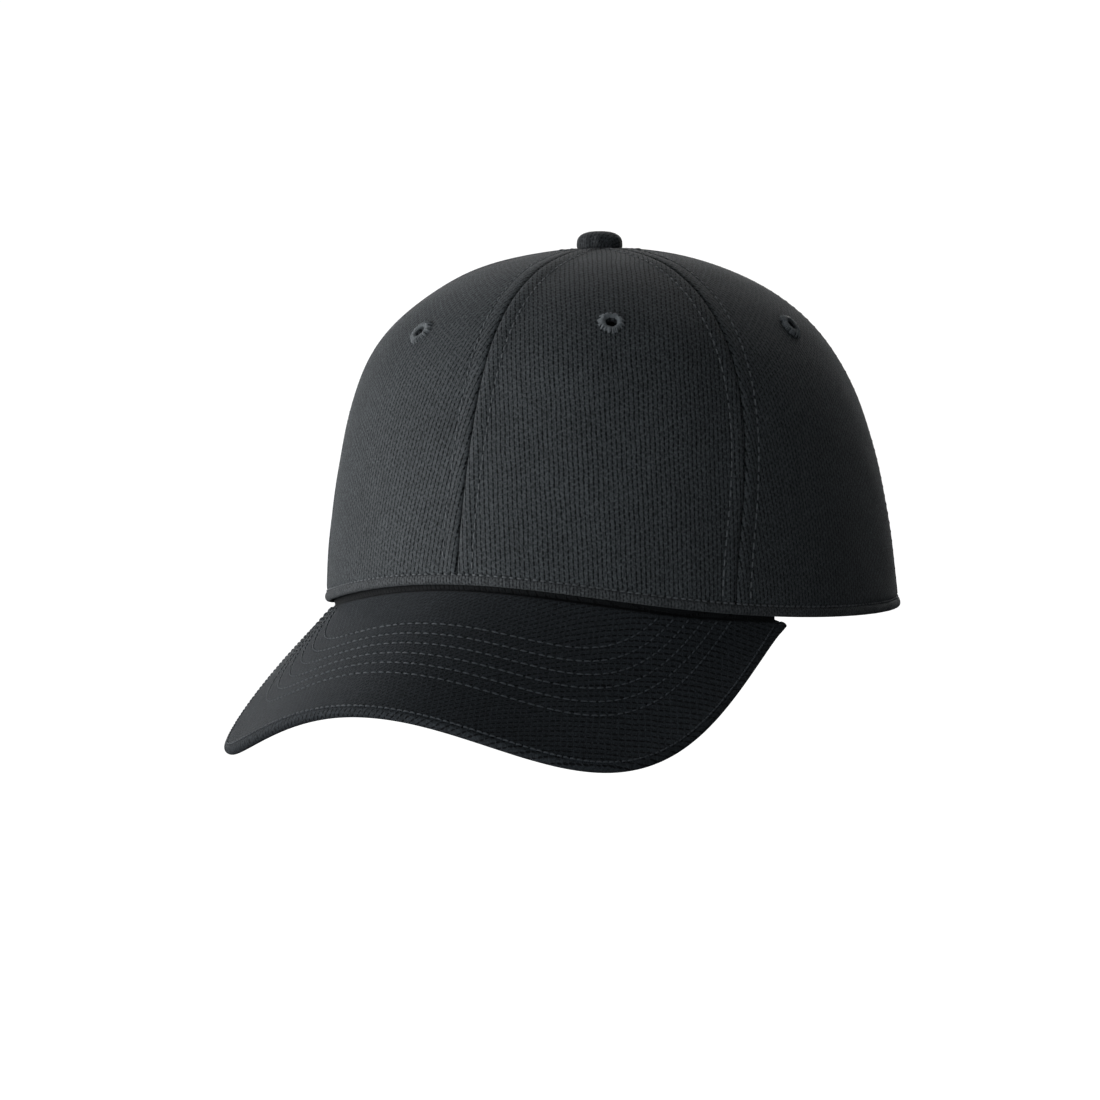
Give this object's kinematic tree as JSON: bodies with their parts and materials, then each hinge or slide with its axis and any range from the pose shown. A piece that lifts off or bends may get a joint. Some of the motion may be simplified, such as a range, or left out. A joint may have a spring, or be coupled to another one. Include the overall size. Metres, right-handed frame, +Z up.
{
  "type": "baseball cap",
  "caption": "Soft-mesh baseball-style cap with a sewn panel crown, top button, eyelets, curved stitched brim and an adjustable strap across a back arch.",
  "frame": {"origin": "centre of the head opening, on the plane of the crown's side and back rim", "axes": "+Z up through the crown, -Y forward along the brim, +X to the wearer's left"},
  "size_m": [0.1722, 0.2632, 0.1567],
  "materials": {
    "mesh_fabric": "black wicking mesh knit, matt",
    "brim_fabric": "black wicking mesh knit, matt",
    "edge_fabric": "black folded knit binding",
    "eyelet_thread": "dark grey satin embroidery thread",
    "stiffener": "stiff black woven buckram",
    "seam_tape": "black twill tape",
    "sweatband_fabric": "black brushed sweatband cloth",
    "brim_board": "moulded visor board, matt",
    "strap_webbing": "black woven webbing",
    "touch_fastener": "black hook and loop tape",
    "button_metal": "stamped steel",
    "label_satin": "white satin label, blank"
  },
  "bodies": {
    "cap": {"panel_front_left": "mesh_fabric", "panel_front_right": "mesh_fabric", "panel_side_left": "mesh_fabric", "panel_side_right": "mesh_fabric", "panel_back_left": "mesh_fabric", "panel_back_right": "mesh_fabric", "eyelet_front_left": "eyelet_thread", "eyelet_front_right": "eyelet_thread", "eyelet_side_left": "eyelet_thread", "eyelet_side_right": "eyelet_thread", "eyelet_back_left": "eyelet_thread", "eyelet_back_right": "eyelet_thread", "stiffener_left": "stiffener", "stiffener_right": "stiffener", "seam_tape_centre_front": "seam_tape", "seam_tape_front_left": "seam_tape", "seam_tape_front_right": "seam_tape", "seam_tape_rear_left": "seam_tape", "seam_tape_rear_right": "seam_tape", "seam_tape_centre_back": "seam_tape", "sweatband": "sweatband_fabric", "hem_band": "edge_fabric", "arch_binding": "edge_fabric", "brim_top_cover": "brim_fabric", "brim_under_cover": "brim_fabric", "brim_board": "brim_board", "button_cover": "mesh_fabric", "button_shell": "button_metal", "button_rivet": "button_metal", "loop_strap": "strap_webbing", "loop_tape": "touch_fastener"},
    "hook_strap_body": {"hook_strap": "strap_webbing", "hook_tape": "touch_fastener"},
    "care_label_body": {"care_label": "label_satin"}
  },
  "joints": [
    {"name": "hook_strap_peel", "type": "hinge", "parent": "cap", "child": "hook_strap_body", "pos_m": [0.03098, 0.09383, 0.01235], "axis": [0, 0, -1], "range_deg": [0, 120]},
    {"name": "care_label_flap", "type": "hinge", "parent": "cap", "child": "care_label_body", "pos_m": [0.07581, 0.01368, 0.03244], "axis": [-0.1592, 0.9872, 0], "range_deg": [0, 80]}
  ]
}
